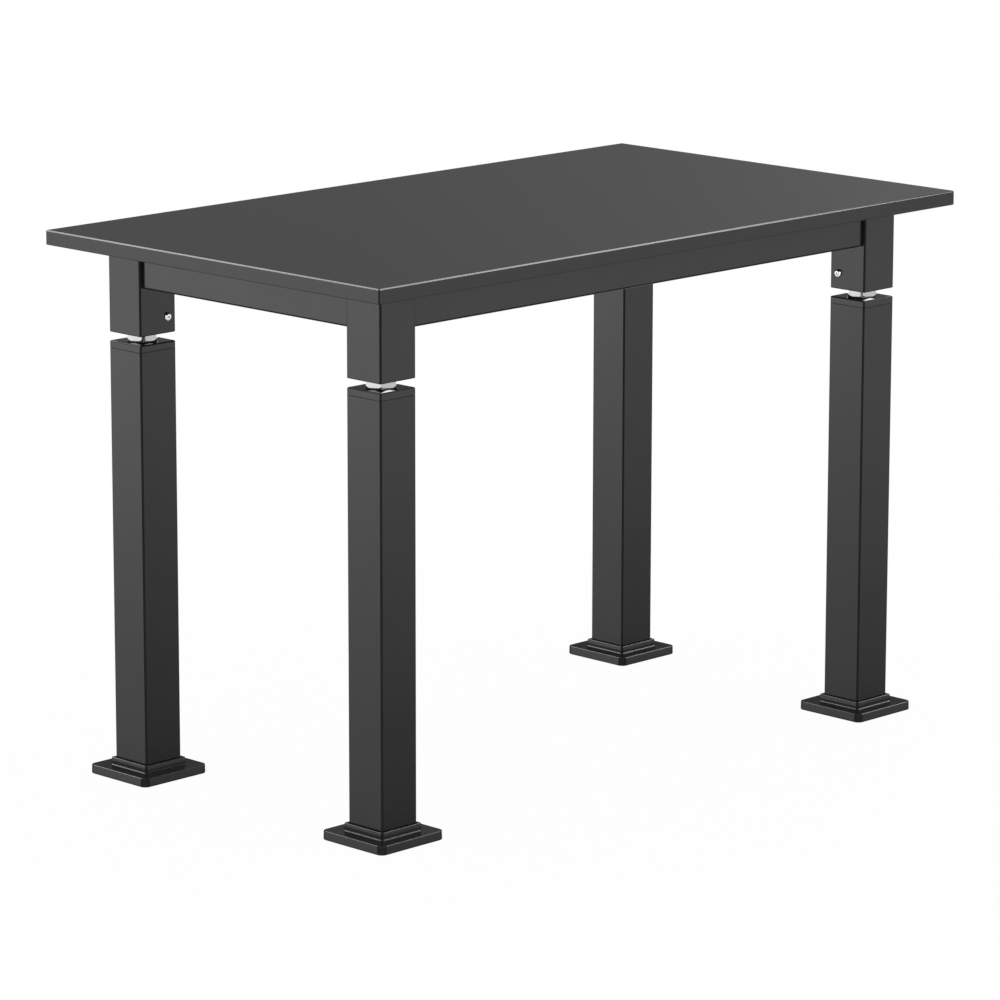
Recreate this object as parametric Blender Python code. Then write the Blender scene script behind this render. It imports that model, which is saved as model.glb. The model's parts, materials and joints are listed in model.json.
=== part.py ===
"""Height-adjustable laboratory table, in metres, +Z up, origin on the floor under its middle.

A worktop is screwed to a frame of rail tubes and short upper legs. A plug in each upper leg holds
a screw spindle, and a hex nut on the spindle bears on the capped top of the lower leg, so turning
the nut raises or lowers that corner. A guide on the spindle's lower end slides inside the lower
leg and keeps it in line.
"""

import math

import bmesh
import bpy
from mathutils import Vector

# Overall sizes, at the lowest setting
TABLE_HEIGHT = 0.7147
TOP_LENGTH = 1.0668
TOP_DEPTH = 0.6096
TOP_THICKNESS = 0.0192
TOP_OVERHANG = 0.0558
TOP_EDGE_RADIUS = 0.002
TOP_CORNER_RADIUS = 0.003

# Legs: upper and lower tube share one section
LEG_WIDTH = 0.060
LEG_WALL = 0.0025
LEG_CORNER_RADIUS = 0.0023
UPPER_LEG_LENGTH = 0.1122
LEG_GAP = 0.0110
LEG_TRAVEL = 0.2032

# Rails
RAIL_HEIGHT = 0.050
RAIL_THICKNESS = 0.025
RAIL_WALL = 0.002
RAIL_RECESS = 0.005
RAIL_CORNER_RADIUS = 0.003

# Screw jack: spindle and nut
SPINDLE_DIAMETER = 0.0254
SPINDLE_CHAMFER = 0.0015
SPINDLE_FLANGE_DIAMETER = 0.038
SPINDLE_FLANGE_THICKNESS = 0.008
NUT_ACROSS_FLATS = 0.0381
NUT_HEIGHT = 0.014
NUT_CHAMFER_ANGLE = math.radians(45)
NUT_FACE_INSET = 0.0004
NUT_CORNER_DIRECTION = math.radians(225)

# Plug in the foot of the upper leg, and the screws that hold it
PLUG_HEIGHT = 0.050
PLUG_CHAMFER = 0.0015
SCREW_DIAMETER = 0.006
SCREW_HEAD_DIAMETER = 0.0108
SCREW_HEAD_HEIGHT = 0.0033
SCREW_HEAD_RIM = 0.0007
SCREW_SOCKET_FLATS = 0.004
SCREW_SOCKET_DEPTH = 0.002
SCREW_CROWN_RIM = 0.0006
SCREW_TIP_CHAMFER = 0.0006
SCREW_TIP_ROOM = 0.0014
SCREW_OFFSET = 0.0156
SCREW_ABOVE_LEG_END = 0.0214
HOLE_END_ROOM = 0.0005

# Cap of the lower leg
CAP_FLANGE_THICKNESS = 0.0095
CAP_EDGE_RADIUS = 0.002
CAP_SKIRT_DEPTH = 0.035
CAP_SKIRT_WALL = 0.004
CAP_SKIRT_CHAMFER = 0.001
CAP_ROOF_THICKNESS = 0.012
CAP_BOSS_WALL = 0.005

# Guide on the spindle's lower end
GUIDE_HEIGHT = 0.100
GUIDE_LAND_HEIGHT = 0.024
GUIDE_WAIST_DEPTH = 0.006
GUIDE_WAIST_RADIUS = 0.006
GUIDE_CHAMFER = 0.002
GUIDE_STOP_MARGIN = 0.002

# Foot
FOOT_WIDTH = 0.1096
FOOT_BASE_THICKNESS = 0.011
FOOT_CORNER_RADIUS = 0.009
FOOT_EDGE_RADIUS = 0.0008
FOOT_BOTTOM_RADIUS = 0.001
FOOT_COLLAR_WALL = 0.0044
FOOT_COLLAR_HEIGHT = 0.0105
FOOT_COLLAR_RADIUS = 0.003
FOOT_COLLAR_EDGE = 0.0008
FOOT_FILLET = 0.0008
FOOT_FLOOR = 0.006

# Brackets and screws that hold the worktop down
BRACKET_SPACING = 0.500
BRACKET_WIDTH = 0.040
BRACKET_LEG = 0.026
BRACKET_THICKNESS = 0.003
BRACKET_BEND_RADIUS = 0.004
TOP_SCREW_DIAMETER = 0.005
TOP_SCREW_HEAD_DIAMETER = 0.0095
TOP_SCREW_HEAD_HEIGHT = 0.0028
TOP_SCREW_HEAD_RIM = 0.0006
TOP_SCREW_SOCKET_FLATS = 0.003
TOP_SCREW_SOCKET_DEPTH = 0.0016
TOP_SCREW_BITE = 0.012

# Clearances
SEAT_GAP = 0.0003
HOLE_CLEARANCE = 0.0003
BORE_CLEARANCE = 0.0004
GUIDE_CLEARANCE = 0.0004
INSERT_CORNER_RELIEF = 0.002
SMALLEST_RADIUS = 0.0004
CUTTER_OVERSHOOT = 0.004

# Facets
CORNER_POINTS = 4
SQUARE_POINTS = 4 * CORNER_POINTS
ROUND_POINTS = 24
SCREW_POINTS = 12
EDGE_STEPS = 3
HEAD_STEPS = 2
SHARP_ANGLE = math.radians(30)

# Levels and places that follow from the sizes
TOP_UNDERSIDE = TABLE_HEIGHT - TOP_THICKNESS
FRAME_TOP = TOP_UNDERSIDE - SEAT_GAP
UPPER_LEG_END = TOP_UNDERSIDE - UPPER_LEG_LENGTH
CAP_TOP = UPPER_LEG_END - LEG_GAP
CAP_SEAT = CAP_TOP - CAP_FLANGE_THICKNESS
LOWER_LEG_TOP = CAP_SEAT - SEAT_GAP
LOWER_LEG_END = FOOT_FLOOR + SEAT_GAP
NUT_BOTTOM = CAP_TOP + SEAT_GAP
PLUG_BOTTOM = NUT_BOTTOM + NUT_HEIGHT + SEAT_GAP
PLUG_TOP = PLUG_BOTTOM + PLUG_HEIGHT
CAP_SKIRT_END = CAP_SEAT - CAP_SKIRT_DEPTH
GUIDE_TOP = CAP_SKIRT_END - LEG_TRAVEL - GUIDE_STOP_MARGIN
GUIDE_BOTTOM = GUIDE_TOP - GUIDE_HEIGHT
SPINDLE_FLANGE_TOP = GUIDE_BOTTOM - SEAT_GAP
SPINDLE_END = SPINDLE_FLANGE_TOP - SPINDLE_FLANGE_THICKNESS
SCREW_LEVEL = UPPER_LEG_END + SCREW_ABOVE_LEG_END

LEG_HALF = LEG_WIDTH / 2
BORE_HALF = LEG_HALF - LEG_WALL
BORE_CORNER_RADIUS = max(LEG_CORNER_RADIUS - LEG_WALL, SMALLEST_RADIUS)
INSERT_RADIUS = BORE_CORNER_RADIUS + INSERT_CORNER_RELIEF
SPINDLE_RADIUS = SPINDLE_DIAMETER / 2
LEG_X = TOP_LENGTH / 2 - TOP_OVERHANG - LEG_HALF
LEG_Y = TOP_DEPTH / 2 - TOP_OVERHANG - LEG_HALF
RAIL_X = LEG_X + LEG_HALF - RAIL_RECESS - RAIL_THICKNESS / 2
RAIL_Y = LEG_Y + LEG_HALF - RAIL_RECESS - RAIL_THICKNESS / 2
SCREW_SHANK = LEG_HALF - SCREW_OFFSET - SCREW_DIAMETER / 2 - SCREW_TIP_ROOM

# Which corner each leg stands at: sign along X, sign along Y
CORNERS = {
    "front_left": (-1, -1),
    "front_right": (1, -1),
    "rear_left": (-1, 1),
    "rear_right": (1, 1),
}

# Colour, roughness and metallic value of each finish
FINISHES = {
    "worktop_resin": ((0.018, 0.018, 0.019, 1), 0.35, 0.0),
    "black_powder_coat": ((0.016, 0.016, 0.017, 1), 0.38, 0.0),
    "black_nylon": ((0.015, 0.015, 0.016, 1), 0.40, 0.0),
    "bright_plating": ((0.80, 0.80, 0.81, 1), 0.12, 1.0),
    "spindle_steel": ((0.55, 0.55, 0.56, 1), 0.30, 1.0),
    "cast_aluminium": ((0.60, 0.60, 0.61, 1), 0.45, 1.0),
    "natural_nylon": ((0.70, 0.68, 0.62, 1), 0.50, 0.0),
}


def clear_scene():
    for old in list(bpy.data.objects):
        bpy.data.objects.remove(old)


def make_finishes():
    finishes = {}
    for name, (colour, roughness, metallic) in FINISHES.items():
        material = bpy.data.materials.new(name)
        material.use_nodes = True
        shader = material.node_tree.nodes["Principled BSDF"]
        shader.inputs["Base Color"].default_value = colour
        shader.inputs["Roughness"].default_value = roughness
        shader.inputs["Metallic"].default_value = metallic
        finishes[name] = material
    return finishes


# Outlines, as lists of (x, y) that run counter-clockwise
def rounded_rectangle(half_x, half_y, radius):
    radius = min(max(radius, SMALLEST_RADIUS), half_x, half_y)
    outline = []
    for corner in range(4):
        start = corner * math.pi / 2
        middle = start + math.pi / 4
        centre_x = math.copysign(half_x - radius, math.cos(middle))
        centre_y = math.copysign(half_y - radius, math.sin(middle))
        for step in range(CORNER_POINTS):
            turn = start + math.pi / 2 * step / (CORNER_POINTS - 1)
            outline.append((centre_x + radius * math.cos(turn), centre_y + radius * math.sin(turn)))
    return outline


def rounded_square(half, radius):
    return rounded_rectangle(half, half, radius)


def circle(radius, count):
    turns = [2 * math.pi * (step + 0.5) / count for step in range(count)]
    return [(radius * math.cos(turn), radius * math.sin(turn)) for turn in turns]


def bore_circle(radius, count):
    """A faceted circle whose flats, not its points, keep the radius, so that a round pin fits."""
    return circle(radius / math.cos(math.pi / count), count)


def hexagon(across_flats, count, corner_direction):
    """The hexagon sampled at even angles, six of which fall on its corners."""
    outline = []
    for step in range(count):
        turn = 2 * math.pi * step / count
        radius = across_flats / 2 / math.cos(turn % (math.pi / 3) - math.pi / 6)
        turn += corner_direction
        outline.append((radius * math.cos(turn), radius * math.sin(turn)))
    return outline


def at_level(outline, level):
    return [(x, y, level) for x, y in outline]


def edge_arc(radius):
    """Inset and rise along a quarter round, from the wall to the flat."""
    turns = [math.pi / 2 * step / EDGE_STEPS for step in range(EDGE_STEPS + 1)]
    return [(radius * (1 - math.cos(turn)), radius * math.sin(turn)) for turn in turns]


# Solids
def add_object(name, mesh, finish, parent=None, location=(0, 0, 0)):
    mesh.shade_smooth()
    mesh.set_sharp_from_angle(angle=SHARP_ANGLE)
    mesh.materials.append(finish)
    piece = bpy.data.objects.new(name, mesh)
    piece.location = location
    piece.parent = parent
    bpy.context.scene.collection.objects.link(piece)
    return piece


def loft_mesh(name, loops, ring):
    """Skin over loops of equal count: up the outside first, then down the inside.

    A ring joins its last loop to its first. Any other solid gets a cap at each end.
    """
    shape = bmesh.new()
    rows = [[shape.verts.new(point) for point in loop] for loop in loops]
    pairs = list(zip(rows, rows[1:]))
    if ring:
        pairs.append((rows[-1], rows[0]))
    else:
        shape.faces.new(list(reversed(rows[0])))
        shape.faces.new(rows[-1])
    for low, high in pairs:
        for here in range(len(low)):
            after = (here + 1) % len(low)
            shape.faces.new((low[here], low[after], high[after], high[here]))
    mesh = bpy.data.meshes.new(name)
    shape.to_mesh(mesh)
    shape.free()
    return mesh


def cut_hole(piece, name, radius, start, direction, depth):
    """Drill a round hole into piece, from a point of its own frame along a direction."""
    towards = Vector(direction).normalized()
    length = depth + CUTTER_OVERSHOOT
    loops = [at_level(bore_circle(radius, SCREW_POINTS), level) for level in (0, length)]
    cutter = bpy.data.objects.new(name, loft_mesh(name, loops, ring=False))
    cutter.location = Vector(start) - towards * CUTTER_OVERSHOOT
    cutter.rotation_mode = "QUATERNION"
    cutter.rotation_quaternion = Vector((0, 0, 1)).rotation_difference(towards)
    cutter.parent = piece
    cutter.hide_render = True
    cutter.display_type = "WIRE"
    bpy.context.scene.collection.objects.link(cutter)
    drill = piece.modifiers.new(name, "BOOLEAN")
    drill.operation = "DIFFERENCE"
    drill.solver = "EXACT"
    drill.object = cutter


def tube_loops(half_x, half_y, radius, wall, low, high):
    outer = rounded_rectangle(half_x, half_y, radius)
    inner = rounded_rectangle(half_x - wall, half_y - wall, radius - wall)
    return [at_level(outer, low), at_level(outer, high), at_level(inner, high), at_level(inner, low)]


def screw_mesh(name, shank, diameter, head_diameter, head_height, rim, socket_flats, socket_depth):
    """Button-head socket screw along +Z, with the seat of its head at zero."""
    radius = diameter / 2
    head_radius = head_diameter / 2
    crown_radius = socket_flats / 2 / math.cos(math.pi / 6) + SCREW_CROWN_RIM
    profile = [
        (radius - SCREW_TIP_CHAMFER, -shank),
        (radius, -shank + SCREW_TIP_CHAMFER),
        (radius, 0),
        (head_radius, 0),
        (head_radius, rim),
    ]
    for step in range(1, HEAD_STEPS + 1):
        turn = math.pi / 2 * step / HEAD_STEPS
        across = crown_radius + (head_radius - crown_radius) * math.cos(turn)
        profile.append((across, rim + (head_height - rim) * math.sin(turn)))
    turns = [2 * math.pi * step / SCREW_POINTS for step in range(SCREW_POINTS)]
    loops = [[(r * math.cos(turn), r * math.sin(turn), z) for turn in turns] for r, z in profile]
    socket = hexagon(socket_flats, SCREW_POINTS, corner_direction=0)
    loops += [at_level(socket, head_height), at_level(socket, head_height - socket_depth)]
    return loft_mesh(name, loops, ring=False)


# Worktop, rails and what joins them
def make_worktop(finish):
    half_x = TOP_LENGTH / 2
    half_y = TOP_DEPTH / 2

    def outline(inset):
        return rounded_rectangle(half_x - inset, half_y - inset, TOP_CORNER_RADIUS - inset)

    arc = edge_arc(TOP_EDGE_RADIUS)
    lower = [at_level(outline(inset), TOP_EDGE_RADIUS - rise) for inset, rise in reversed(arc)]
    upper = [at_level(outline(inset), TOP_THICKNESS - TOP_EDGE_RADIUS + rise) for inset, rise in arc]
    mesh = loft_mesh("worktop", lower + upper, ring=False)
    return add_object("worktop", mesh, finish, location=(0, 0, TOP_UNDERSIDE))


def make_rails(finish):
    middle = FRAME_TOP - RAIL_HEIGHT / 2
    long_half = LEG_X - LEG_HALF - SEAT_GAP
    short_half = LEG_Y - LEG_HALF - SEAT_GAP
    places = {
        "front_rail": (long_half, (0, -RAIL_Y, middle), 0),
        "rear_rail": (long_half, (0, RAIL_Y, middle), 0),
        "left_rail": (short_half, (-RAIL_X, 0, middle), math.pi / 2),
        "right_rail": (short_half, (RAIL_X, 0, middle), math.pi / 2),
    }
    for name, (half, place, turn) in places.items():
        section = (RAIL_HEIGHT / 2, RAIL_THICKNESS / 2, RAIL_CORNER_RADIUS, RAIL_WALL)
        mesh = loft_mesh(name, tube_loops(*section, -half, half), ring=True)
        rail = add_object(name, mesh, finish, location=place)
        rail.rotation_euler = (0, math.pi / 2, turn)


def bracket_mesh(name):
    """Angle along X: its upper flange runs along +Y from the corner, its other flange down."""
    inner_radius = max(BRACKET_BEND_RADIUS - BRACKET_THICKNESS, SMALLEST_RADIUS)
    outer_radius = inner_radius + BRACKET_THICKNESS
    outer = [(inset, rise - outer_radius) for inset, rise in edge_arc(outer_radius)]
    inner = [
        (BRACKET_THICKNESS + inset, rise - outer_radius)
        for inset, rise in reversed(edge_arc(inner_radius))
    ]
    section = [(0, -BRACKET_LEG)] + outer + [(BRACKET_LEG, 0)]
    section += [(BRACKET_LEG, -BRACKET_THICKNESS)] + inner + [(BRACKET_THICKNESS, -BRACKET_LEG)]
    half = BRACKET_WIDTH / 2
    loops = [[(x, y, z) for y, z in section] for x in (half, -half)]
    return loft_mesh(name, loops, ring=False)


def make_top_fixings(worktop, frame_finish, screw_finish):
    wall = RAIL_Y - RAIL_THICKNESS / 2 - SEAT_GAP
    screw_inset = (BRACKET_THICKNESS + BRACKET_LEG) / 2
    hole_radius = TOP_SCREW_DIAMETER / 2 + HOLE_CLEARANCE
    seat = FRAME_TOP - BRACKET_THICKNESS - SEAT_GAP
    shank = TOP_UNDERSIDE + TOP_SCREW_BITE - seat
    for corner, (side_x, side_y) in CORNERS.items():
        x = side_x * BRACKET_SPACING / 2
        name = "top_bracket_" + corner
        bracket = add_object(name, bracket_mesh(name), frame_finish, location=(x, side_y * wall, FRAME_TOP))
        bracket.rotation_euler = (0, 0, math.pi if side_y > 0 else 0)
        hole = (0, screw_inset, -BRACKET_THICKNESS)
        cut_hole(bracket, "cut_" + name, hole_radius, hole, (0, 0, 1), BRACKET_THICKNESS + CUTTER_OVERSHOOT)

        name = "top_screw_" + corner
        head = (TOP_SCREW_HEAD_DIAMETER, TOP_SCREW_HEAD_HEIGHT, TOP_SCREW_HEAD_RIM)
        socket = (TOP_SCREW_SOCKET_FLATS, TOP_SCREW_SOCKET_DEPTH)
        mesh = screw_mesh(name, shank, TOP_SCREW_DIAMETER, *head, *socket)
        y = side_y * (wall - screw_inset)
        screw = add_object(name, mesh, screw_finish, location=(x, y, seat))
        screw.rotation_euler = (math.pi, 0, 0)
        cut_hole(worktop, "cut_" + name, hole_radius, (x, y, 0), (0, 0, 1), TOP_SCREW_BITE + HOLE_END_ROOM)


# Pieces of one leg, each built around the leg's own axis
def make_upper_leg(corner, axis, finish):
    name = "upper_leg_" + corner
    loops = tube_loops(LEG_HALF, LEG_HALF, LEG_CORNER_RADIUS, LEG_WALL, UPPER_LEG_END, FRAME_TOP)
    return add_object(name, loft_mesh(name, loops, ring=True), finish, axis)


def make_spindle_plug(corner, axis, finish):
    name = "spindle_plug_" + corner
    half = BORE_HALF - SEAT_GAP
    bore = bore_circle(SPINDLE_RADIUS + SEAT_GAP, SQUARE_POINTS)
    full = rounded_square(half, INSERT_RADIUS)
    small = rounded_square(half - PLUG_CHAMFER, INSERT_RADIUS - PLUG_CHAMFER)
    loops = [
        at_level(small, PLUG_BOTTOM),
        at_level(full, PLUG_BOTTOM + PLUG_CHAMFER),
        at_level(full, PLUG_TOP - PLUG_CHAMFER),
        at_level(small, PLUG_TOP),
        at_level(bore, PLUG_TOP),
        at_level(bore, PLUG_BOTTOM),
    ]
    return add_object(name, loft_mesh(name, loops, ring=True), finish, axis)


def make_plug_screws(corner, axis, upper_leg, plug, finish):
    """One screw on each inner face of the upper leg, off centre so that it clears the spindle."""
    side_x, side_y = CORNERS[corner]
    faces = {
        "plug_screw_side_": ((0, -side_y, 0), (-side_x * SCREW_OFFSET, -side_y * LEG_HALF, SCREW_LEVEL)),
        "plug_screw_end_": ((-side_x, 0, 0), (-side_x * LEG_HALF, -side_y * SCREW_OFFSET, SCREW_LEVEL)),
    }
    head = (SCREW_HEAD_DIAMETER, SCREW_HEAD_HEIGHT, SCREW_HEAD_RIM)
    socket = (SCREW_SOCKET_FLATS, SCREW_SOCKET_DEPTH)
    hole_radius = SCREW_DIAMETER / 2 + HOLE_CLEARANCE
    for prefix, (out, place) in faces.items():
        name = prefix + corner
        outward = Vector(out)
        mesh = screw_mesh(name, SCREW_SHANK + SEAT_GAP, SCREW_DIAMETER, *head, *socket)
        screw = add_object(name, mesh, finish, axis, Vector(place) + outward * SEAT_GAP)
        screw.rotation_mode = "QUATERNION"
        screw.rotation_quaternion = Vector((0, 0, 1)).rotation_difference(outward)
        wall_depth = LEG_WALL + CUTTER_OVERSHOOT
        cut_hole(upper_leg, "cut_leg_" + name, hole_radius, place, -outward, wall_depth)
        cut_hole(plug, "cut_plug_" + name, hole_radius, place, -outward, SCREW_SHANK + HOLE_END_ROOM)


def make_spindle(corner, axis, finish):
    name = "spindle_" + corner
    flange = SPINDLE_FLANGE_DIAMETER / 2
    profile = [
        (flange - SPINDLE_CHAMFER, SPINDLE_END),
        (flange, SPINDLE_END + SPINDLE_CHAMFER),
        (flange, SPINDLE_FLANGE_TOP),
        (SPINDLE_RADIUS, SPINDLE_FLANGE_TOP),
        (SPINDLE_RADIUS, PLUG_TOP - SPINDLE_CHAMFER),
        (SPINDLE_RADIUS - SPINDLE_CHAMFER, PLUG_TOP),
    ]
    loops = [at_level(circle(radius, ROUND_POINTS), level) for radius, level in profile]
    return add_object(name, loft_mesh(name, loops, ring=False), finish, axis)


def make_spindle_guide(corner, axis, finish):
    """Slider with a bearing land at each end and a relieved waist between them."""
    name = "spindle_guide_" + corner
    half = BORE_HALF - GUIDE_CLEARANCE
    bore = bore_circle(SPINDLE_RADIUS + SEAT_GAP, SQUARE_POINTS)
    land = rounded_square(half, INSERT_RADIUS)
    small = rounded_square(half - GUIDE_CHAMFER, INSERT_RADIUS - GUIDE_CHAMFER)
    waist = rounded_square(half - GUIDE_WAIST_DEPTH, GUIDE_WAIST_RADIUS)
    loops = [
        at_level(small, GUIDE_BOTTOM),
        at_level(land, GUIDE_BOTTOM + GUIDE_CHAMFER),
        at_level(land, GUIDE_BOTTOM + GUIDE_LAND_HEIGHT),
        at_level(waist, GUIDE_BOTTOM + GUIDE_LAND_HEIGHT + GUIDE_CHAMFER),
        at_level(waist, GUIDE_TOP - GUIDE_LAND_HEIGHT - GUIDE_CHAMFER),
        at_level(land, GUIDE_TOP - GUIDE_LAND_HEIGHT),
        at_level(land, GUIDE_TOP - GUIDE_CHAMFER),
        at_level(small, GUIDE_TOP),
        at_level(bore, GUIDE_TOP),
        at_level(bore, GUIDE_BOTTOM),
    ]
    return add_object(name, loft_mesh(name, loops, ring=True), finish, axis)


def make_lower_leg(corner, axis, finish):
    name = "lower_leg_" + corner
    loops = tube_loops(LEG_HALF, LEG_HALF, LEG_CORNER_RADIUS, LEG_WALL, LOWER_LEG_END, LOWER_LEG_TOP)
    return add_object(name, loft_mesh(name, loops, ring=True), finish, axis)


def make_leg_cap(corner, axis, finish):
    """Flange the size of the tube, with a skirt inside the tube and a bored boss inside the skirt."""
    name = "leg_cap_" + corner
    skirt_half = BORE_HALF - SEAT_GAP
    skirt = rounded_square(skirt_half, INSERT_RADIUS)
    skirt_tip = rounded_square(skirt_half - CAP_SKIRT_CHAMFER, INSERT_RADIUS - CAP_SKIRT_CHAMFER)
    pocket = rounded_square(skirt_half - CAP_SKIRT_WALL, INSERT_RADIUS)
    flange = rounded_square(LEG_HALF, LEG_CORNER_RADIUS)
    bore_radius = SPINDLE_RADIUS + BORE_CLEARANCE
    bore = bore_circle(bore_radius, SQUARE_POINTS)
    boss = bore_circle(bore_radius + CAP_BOSS_WALL, SQUARE_POINTS)
    roof = CAP_TOP - CAP_ROOF_THICKNESS
    loops = [
        at_level(skirt_tip, CAP_SKIRT_END),
        at_level(skirt, CAP_SKIRT_END + CAP_SKIRT_CHAMFER),
        at_level(skirt, CAP_SEAT),
        at_level(flange, CAP_SEAT),
    ]
    for inset, rise in edge_arc(CAP_EDGE_RADIUS):
        outline = rounded_square(LEG_HALF - inset, LEG_CORNER_RADIUS - inset)
        loops.append(at_level(outline, CAP_TOP - CAP_EDGE_RADIUS + rise))
    loops += [
        at_level(bore, CAP_TOP),
        at_level(bore, CAP_SKIRT_END),
        at_level(boss, CAP_SKIRT_END),
        at_level(boss, roof),
        at_level(pocket, roof),
        at_level(pocket, CAP_SKIRT_END),
    ]
    return add_object(name, loft_mesh(name, loops, ring=True), finish, axis)


def make_height_nut(corner, axis, finish):
    """Hex nut whose corners are cut back by a cone at both ends, which leaves an arc on each flat."""
    name = "height_nut_" + corner
    top = NUT_BOTTOM + NUT_HEIGHT
    face_radius = NUT_ACROSS_FLATS / 2 - NUT_FACE_INSET
    bore_radius = (SPINDLE_RADIUS + BORE_CLEARANCE) / math.cos(math.pi / ROUND_POINTS)
    turns = [2 * math.pi * step / ROUND_POINTS + NUT_CORNER_DIRECTION for step in range(ROUND_POINTS)]
    flats = hexagon(NUT_ACROSS_FLATS, ROUND_POINTS, NUT_CORNER_DIRECTION)
    drops = [(math.hypot(x, y) - face_radius) * math.tan(NUT_CHAMFER_ANGLE) for x, y in flats]

    def turned(radius, level):
        return [(radius * math.cos(turn), radius * math.sin(turn), level) for turn in turns]

    loops = [
        turned(face_radius, NUT_BOTTOM),
        [(x, y, NUT_BOTTOM + drop) for (x, y), drop in zip(flats, drops)],
        [(x, y, top - drop) for (x, y), drop in zip(flats, drops)],
        turned(face_radius, top),
        turned(bore_radius, top),
        turned(bore_radius, NUT_BOTTOM),
    ]
    return add_object(name, loft_mesh(name, loops, ring=True), finish, axis)


def make_foot(corner, axis, finish):
    """Moulded foot: rounded base, then a collar that grows out of it with a small fillet."""
    name = "foot_" + corner
    base_half = FOOT_WIDTH / 2
    socket_half = LEG_HALF + SEAT_GAP
    collar_half = socket_half + FOOT_COLLAR_WALL
    collar_top = FOOT_BASE_THICKNESS + FOOT_COLLAR_HEIGHT

    def base(inset):
        return rounded_square(base_half - inset, FOOT_CORNER_RADIUS - inset)

    def collar(inset):
        return rounded_square(collar_half - inset, FOOT_COLLAR_RADIUS - inset)

    bottom = reversed(edge_arc(FOOT_BOTTOM_RADIUS))
    loops = [at_level(base(inset), FOOT_BOTTOM_RADIUS - rise) for inset, rise in bottom]
    for inset, rise in edge_arc(FOOT_EDGE_RADIUS):
        loops.append(at_level(base(inset), FOOT_BASE_THICKNESS - FOOT_EDGE_RADIUS + rise))
    for climb, closing in edge_arc(FOOT_FILLET):
        loops.append(at_level(collar(closing - FOOT_FILLET), FOOT_BASE_THICKNESS + climb))
    for inset, rise in edge_arc(FOOT_COLLAR_EDGE):
        loops.append(at_level(collar(inset), collar_top - FOOT_COLLAR_EDGE + rise))
    socket = rounded_square(socket_half, LEG_CORNER_RADIUS)
    loops += [at_level(socket, collar_top), at_level(socket, FOOT_FLOOR)]
    return add_object(name, loft_mesh(name, loops, ring=False), finish, axis)


def make_leg(corner, finishes):
    side_x, side_y = CORNERS[corner]
    axis = bpy.data.objects.new("leg_axis_" + corner, None)
    axis.location = (side_x * LEG_X, side_y * LEG_Y, 0)
    bpy.context.scene.collection.objects.link(axis)
    upper_leg = make_upper_leg(corner, axis, finishes["black_powder_coat"])
    plug = make_spindle_plug(corner, axis, finishes["cast_aluminium"])
    make_plug_screws(corner, axis, upper_leg, plug, finishes["bright_plating"])
    make_spindle(corner, axis, finishes["spindle_steel"])
    make_spindle_guide(corner, axis, finishes["natural_nylon"])
    make_lower_leg(corner, axis, finishes["black_powder_coat"])
    make_leg_cap(corner, axis, finishes["black_nylon"])
    make_height_nut(corner, axis, finishes["bright_plating"])
    make_foot(corner, axis, finishes["black_nylon"])


def main():
    clear_scene()
    finishes = make_finishes()
    worktop = make_worktop(finishes["worktop_resin"])
    make_rails(finishes["black_powder_coat"])
    make_top_fixings(worktop, finishes["black_powder_coat"], finishes["bright_plating"])
    for corner in CORNERS:
        make_leg(corner, finishes)


main()
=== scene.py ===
"""Looks of the height-adjustable laboratory table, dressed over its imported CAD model.

Most nodes are shown by a mesh that is lofted again from the node's place and size, with finer edges,
and that rides on the node's own body. Plugs, guides and brackets are shown by their CAD nodes. All
have procedural materials, and the spindles get their rolled thread here.
"""

import json
import math
from collections import namedtuple

import bmesh
import bpy
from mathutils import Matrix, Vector


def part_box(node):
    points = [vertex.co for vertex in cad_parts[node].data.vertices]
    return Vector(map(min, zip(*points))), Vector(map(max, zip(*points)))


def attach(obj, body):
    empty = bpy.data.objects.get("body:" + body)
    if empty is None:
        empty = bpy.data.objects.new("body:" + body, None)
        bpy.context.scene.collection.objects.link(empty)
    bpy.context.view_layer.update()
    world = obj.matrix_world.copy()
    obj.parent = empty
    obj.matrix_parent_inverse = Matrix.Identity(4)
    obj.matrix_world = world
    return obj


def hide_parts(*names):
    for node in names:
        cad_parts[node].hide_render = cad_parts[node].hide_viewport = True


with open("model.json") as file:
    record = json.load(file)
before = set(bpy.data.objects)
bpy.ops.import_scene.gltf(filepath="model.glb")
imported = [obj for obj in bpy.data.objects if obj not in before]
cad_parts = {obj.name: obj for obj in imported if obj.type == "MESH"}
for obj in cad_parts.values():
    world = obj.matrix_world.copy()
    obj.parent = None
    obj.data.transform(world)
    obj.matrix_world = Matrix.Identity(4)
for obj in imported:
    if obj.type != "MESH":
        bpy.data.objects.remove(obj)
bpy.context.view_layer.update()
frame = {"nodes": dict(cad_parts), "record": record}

CORNERS = ("front_left", "front_right", "rear_left", "rear_right")
RAILS = ("front_rail", "rear_rail", "left_rail", "right_rail")

# Camera, as fitted to the edges of the worktop and legs
CAMERA_PLACE = (-4.6760, -4.5986, 1.7732)
CAMERA_PITCH = math.radians(77.5687)
CAMERA_ROLL = math.radians(-0.0794)
CAMERA_TURN = math.radians(-45.3399)
CAMERA_LENS = 183.35
CAMERA_REACH = 50.0
SENSOR_WIDTH = 36.0
FORWARD = Vector((-math.sin(CAMERA_TURN), math.cos(CAMERA_TURN), 0))
UP = Vector((0, 0, 1))

# Worktop
TOP_EDGE_RADIUS = 0.0020
TOP_LOWER_RADIUS = 0.0010
TOP_CORNER_RADIUS = 0.0015

# Tubes
LEG_WALL = 0.0025
LEG_CORNER_RADIUS = 0.0023
RAIL_WALL = 0.002
RAIL_CORNER_RADIUS = 0.003
FIT_GAP = 0.0003
TUBE_TOP_RADIUS = 0.0002
TUBE_BOTTOM_RADIUS = 0.0014
RAIL_END_RADIUS = 0.0006

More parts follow.
